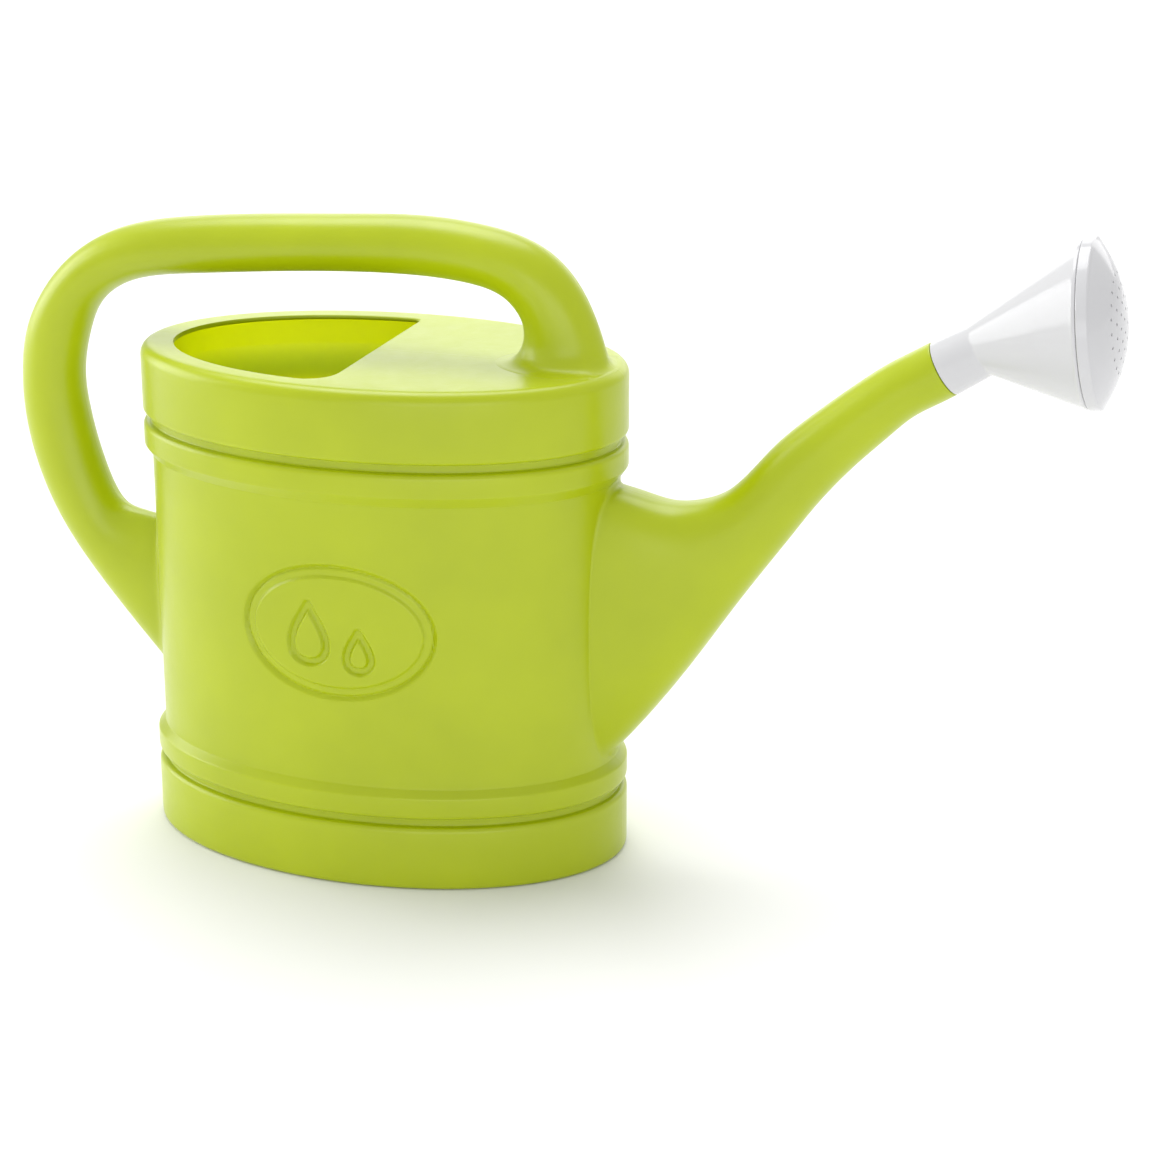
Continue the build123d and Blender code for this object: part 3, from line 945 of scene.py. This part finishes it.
def pierced_disc(radius, hole_radius):
    """A flat disc with its holes: points, triangles, each hole's loop and the border's."""
    holes = hole_middles()
    middles = np.array(holes)
    points, loops = [], []
    for middle in holes:
        loops.append(range(len(points), len(points) + HOLE_SIDES))
        points += circle(hole_radius, HOLE_SIDES, middle)
    for middle in holes:
        points += circle(hole_radius * GUARD_SHARE, HOLE_SIDES // 2, middle)
    clear = hole_radius * GUARD_SHARE + 0.55
    for ring in np.arange(DISC_STEP, radius - 1.0, DISC_STEP):
        count = max(8, round(2 * math.pi * ring / 1.5))
        for k in range(count):
            turn = 2 * math.pi * (k + 0.37 * ring) / count
            spot = np.array([ring * math.cos(turn), ring * math.sin(turn)])
            if np.min(np.linalg.norm(middles - spot, axis=1)) > clear:
                points.append(tuple(spot))
    loops.append(range(len(points), len(points) + ROSE_COLUMNS))
    points += circle(radius, ROSE_COLUMNS)
    edges = [(loop[k], loop[(k + 1) % len(loop)]) for loop in loops for k in range(len(loop))]
    flat, _, triangles, origin, _, _ = delaunay_2d_cdt(
        [Vector(p) for p in points], edges, [], 1, 1e-6
    )
    flat = np.array([tuple(p) for p in flat])
    kept = []
    for triangle in triangles:
        middle = flat[list(triangle)].mean(0)
        if np.min(np.linalg.norm(middles - middle, axis=1)) > hole_radius * 0.97:
            kept.append(list(triangle)[::-1] if runs_clockwise(flat, triangle) else list(triangle))
    place = {old: new for new, olds in enumerate(origin) for old in olds}
    *rims, border = [[place[k] for k in loop] for loop in loops]
    return flat, kept, rims, border


def rose_face_mesh(sizes):
    """The domed face: a pierced outer skin, an inner skin, hole walls and the skirt."""
    radius, height = sizes.face_radius / MM, sizes.dome_height / MM
    inner_radius = radius - FACE_WALL
    curve = (radius**2 + height**2) / (2 * height)
    inner_curve, crown = curve - FACE_WALL, height - curve
    shoulder = radius - FACE_EDGE  # the disc ends here and the rounded edge begins
    flat, kept, rims, border = pierced_disc(shoulder, sizes.hole_radius / MM)
    count = len(flat)
    reach = np.hypot(flat[:, 0], flat[:, 1])
    top = crown + np.sqrt(curve**2 - reach**2)
    far = np.clip((reach - NARROWING_FROM) / (shoulder - NARROWING_FROM), 0, 1)
    inner_flat = flat * (1 + (inner_radius / shoulder - 1) * far)[:, None]
    low = crown + np.sqrt(inner_curve**2 - np.hypot(inner_flat[:, 0], inner_flat[:, 1]) ** 2)
    side = np.array([0.0, 1.0, 0.0])
    up = np.cross(ROSE_AXIS, side)

    def placed(xy, along):
        across = np.outer(xy[:, 0], side) + np.outer(xy[:, 1], up)
        return RIM_CENTRE + across + np.outer(along, ROSE_AXIS)

    faces = kept + [[k + count for k in face[::-1]] for face in kept]
    for rim in rims:
        for here, there in zip(rim, rim[1:] + rim[:1]):
            faces.append([there, here, here + count, there + count])
    # The rounded edge, the skirt, and the inside of the skirt.
    edge_level = crown + math.sqrt(curve**2 - shoulder**2)
    slope = math.atan2(shoulder, curve)
    bend = [(shoulder + FACE_EDGE * math.sin(t), edge_level - FACE_EDGE * (1 - math.cos(t)))
            for t in np.linspace(slope * 0.6, math.pi / 2, 7)[1:]]
    rings = axis_rings(RIM_CENTRE, ROSE_AXIS, [
        *bend, (radius, -1.5), (radius, -FACE_SKIRT + 0.3), (radius - 0.3, -FACE_SKIRT),
        (inner_radius + 0.2, -FACE_SKIRT), (inner_radius, -FACE_SKIRT + 0.2),
        (inner_radius, -1.5),
    ], ROSE_COLUMNS)
    offset = 2 * count
    last_offset = offset + (len(rings) - 1) * ROSE_COLUMNS
    for k, here in enumerate(border):
        after = (k + 1) % ROSE_COLUMNS
        there = border[after]
        faces.append([here, offset + k, offset + after, there])
        faces.append([last_offset + k, here + count, there + count, last_offset + after])
    quads = np.array(ring_faces(len(rings), ROSE_COLUMNS)) + offset
    faces += quads[:, ::-1].tolist()
    return np.concatenate([placed(flat, top), placed(inner_flat, low), *rings]), faces


# === Operators ===


class CAN_OT_tank(bpy.types.Operator):
    """Builds the banded oval tank with its fill opening and moulded mark"""

    bl_idname = "watering_can.tank"
    bl_label = "Tank"

    def execute(self, context):
        sizes = context.scene.can_sizes
        form = TankForm(sizes)
        skin = finish_of(blow_moulded_polyethylene)
        points, faces, inner_from = tank_mesh(form, sizes)
        piece = new_mesh_object("tank_shell", points, faces, skin)
        # The inside's faces take the lighter copy of the plastic, painted light for daylight through
        # the skin.
        piece.data.materials.append(finish_of(polyethylene_lit_through))
        slots = np.zeros(len(faces), np.int32)
        slots[inner_from:] = 1
        piece.data.polygons.foreach_set("material_index", slots)
        cutter = new_mesh_object("spout_passage", *spout_passage(form, sizes), skin)
        cut_away(piece, cutter)
        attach(piece, "can")
        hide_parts("tank_base", "tank_wall", "tank_top")
        return {"FINISHED"}


class CAN_OT_handle(bpy.types.Operator):
    """Builds the tube handle, with its root on the wall and its leg on the deck"""

    bl_idname = "watering_can.handle"
    bl_label = "Handle"

    def execute(self, context):
        sizes = context.scene.can_sizes
        mesh = handle_mesh(TankForm(sizes), sizes)
        piece = new_mesh_object("tube_handle", *mesh, finish_of(blow_moulded_polyethylene), 50)
        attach(piece, "can")
        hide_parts("handle")
        return {"FINISHED"}


class CAN_OT_spout(bpy.types.Operator):
    """Builds the hollow horn spout with its straight bore"""

    bl_idname = "watering_can.spout"
    bl_label = "Spout"

    def execute(self, context):
        sizes = context.scene.can_sizes
        mesh = spout_mesh(TankForm(sizes), sizes)
        piece = new_mesh_object("horn_spout", *mesh, finish_of(blow_moulded_polyethylene), 50)
        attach(piece, "can")
        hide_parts("spout")
        return {"FINISHED"}


class CAN_OT_rose(bpy.types.Operator):
    """Builds the rose's collar and flared cone, and finishes its tail"""

    bl_idname = "watering_can.rose"
    bl_label = "Rose cone and tail"

    def execute(self, context):
        gloss = finish_of(injection_moulded_polypropylene)
        mesh = rose_cone_mesh(context.scene.can_sizes)
        piece = new_mesh_object("rose_flare", *mesh, gloss)
        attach(piece, "rose")
        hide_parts("rose_cone")
        tail = frame["nodes"]["rose_tail"]
        tail.data.materials.clear()
        tail.data.materials.append(gloss)
        return {"FINISHED"}


class CAN_OT_rose_face(bpy.types.Operator):
    """Builds the rose's domed face with its rings of holes"""

    bl_idname = "watering_can.rose_face"
    bl_label = "Rose face"

    def execute(self, context):
        mesh = rose_face_mesh(context.scene.can_sizes)
        gloss = finish_of(injection_moulded_polypropylene)
        piece = new_mesh_object("rose_dome", *mesh, gloss)
        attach(piece, "rose_face")
        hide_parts("rose_face")
        return {"FINISHED"}


# The studio, in metres. A softbox's brightness is beside that of white paper.
STUDIO_MIDDLE = (0.05, 0.0, 0.15)
SOFTBOXES = {  # place, size, brightness
    "top_softbox": ((-0.5, 0.3, 1.8), (0.9, 0.9), 1.4),
    "back_panel": ((-0.2, 2.8, 1.2), (4.0, 1.8), 1.2),
    "left_softbox": ((-2.3, -0.1, 0.8), (1.8, 1.4), 3.4),
    "front_fill": ((0.9, -2.6, 0.6), (2.6, 1.1), 1.5),
}
SUN_TOWARD, SUN_SPREAD, SUN_STRENGTH = (-0.2, 0.4, 1.0), 45, 1.5
SKY_STRENGTH = 0.72
FLOOR_REACH = 40.0
CAMERA_PLACE = (0.482387, -1.189149, 0.567928)
CAMERA_AIM = (0.09433, 0.0, 0.13735)
CAMERA_SENSOR, CAMERA_LENS = 36.0, 89.05


def turned(item, way, axis="-Z"):
    """Turns a lamp or a camera so that one of its axes points a given way."""
    item.rotation_mode = "QUATERNION"
    item.rotation_quaternion = Vector(way).to_track_quat(axis, "Y")


def soft_light(name, place, size, brightness):
    """A rectangular soft light that faces the can and that the camera doesn't see."""
    data = bpy.data.lights.new(name, "AREA")
    data.shape = "RECTANGLE"
    data.size, data.size_y = size
    data.energy = brightness * math.pi * size[0] * size[1]
    lamp = new_object(name, data)
    lamp.location = place
    lamp.visible_camera = False
    turned(lamp, Vector(STUDIO_MIDDLE) - Vector(place))


def overhead_sun():
    """A wide, even light from one side of the sky."""
    data = bpy.data.lights.new("overhead", "SUN")
    data.angle = math.radians(SUN_SPREAD)
    data.energy = SUN_STRENGTH
    turned(new_object("overhead", data), SUN_TOWARD, "Z")


class CAN_OT_stage(bpy.types.Operator):
    """Lays the pale floor and sets the studio light and the camera"""

    bl_idname = "watering_can.stage"
    bl_label = "Stage"

    def execute(self, context):
        mesh = bpy.data.meshes.new("paper_floor")
        corners = [(x * FLOOR_REACH, y * FLOOR_REACH, 0)
                   for x, y in ((-1, -1), (1, -1), (1, 1), (-1, 1))]
        mesh.from_pydata(corners, [], [(0, 1, 2, 3)])
        mesh.materials.append(finish_of(matte_paper))
        floor = new_object("paper_floor", mesh)

        world = bpy.data.worlds.new("studio")
        world.use_nodes = True
        world.node_tree.nodes.clear()
        sky = add_node(world.node_tree, "ShaderNodeBackground", None,
                       {"Color": (1, 1, 1, 1), "Strength": SKY_STRENGTH})
        add_node(world.node_tree, "ShaderNodeOutputWorld", None, {"Surface": (sky, "Background")})
        context.scene.world = world

        overhead_sun()
        for name, (place, size, brightness) in SOFTBOXES.items():
            soft_light(name, place, size, brightness)

        data = bpy.data.cameras.new("camera")
        data.sensor_width, data.lens = CAMERA_SENSOR, CAMERA_LENS
        camera = new_object("camera", data)
        camera.location = CAMERA_PLACE
        turned(camera, Vector(CAMERA_AIM) - camera.location)
        context.scene.camera = camera
        context.scene.view_settings.view_transform = "Standard"
        return {"FINISHED"}


class CAN_PT_panel(bpy.types.Panel):
    """The watering can's sizes, colours and builders"""

    bl_idname = "CAN_PT_panel"
    bl_label = "Watering can"
    bl_space_type = "VIEW_3D"
    bl_region_type = "UI"
    bl_category = "Watering can"

    def draw(self, context):
        for builder in BUILDERS:
            self.layout.operator(builder.bl_idname)
        for group in (context.scene.can_sizes, context.scene.can_colours):
            box = self.layout.box()
            for name in group.__annotations__:
                box.prop(group, name)


BUILDERS = (CAN_OT_tank, CAN_OT_handle, CAN_OT_spout, CAN_OT_rose, CAN_OT_rose_face, CAN_OT_stage)
CLASSES = (CanSizes, CanColours, *BUILDERS, CAN_PT_panel)


def register():
    for part in CLASSES:
        bpy.utils.register_class(part)
    bpy.types.Scene.can_sizes = PointerProperty(type=CanSizes)
    bpy.types.Scene.can_colours = PointerProperty(type=CanColours)


def unregister():
    del bpy.types.Scene.can_colours
    del bpy.types.Scene.can_sizes
    for part in reversed(CLASSES):
        bpy.utils.unregister_class(part)


def main():
    """Builds every piece and the stage."""
    register()
    bpy.ops.watering_can.tank()
    bpy.ops.watering_can.handle()
    bpy.ops.watering_can.spout()
    bpy.ops.watering_can.rose()
    bpy.ops.watering_can.rose_face()
    bpy.ops.watering_can.stage()


if __name__ == "__main__":
    main()
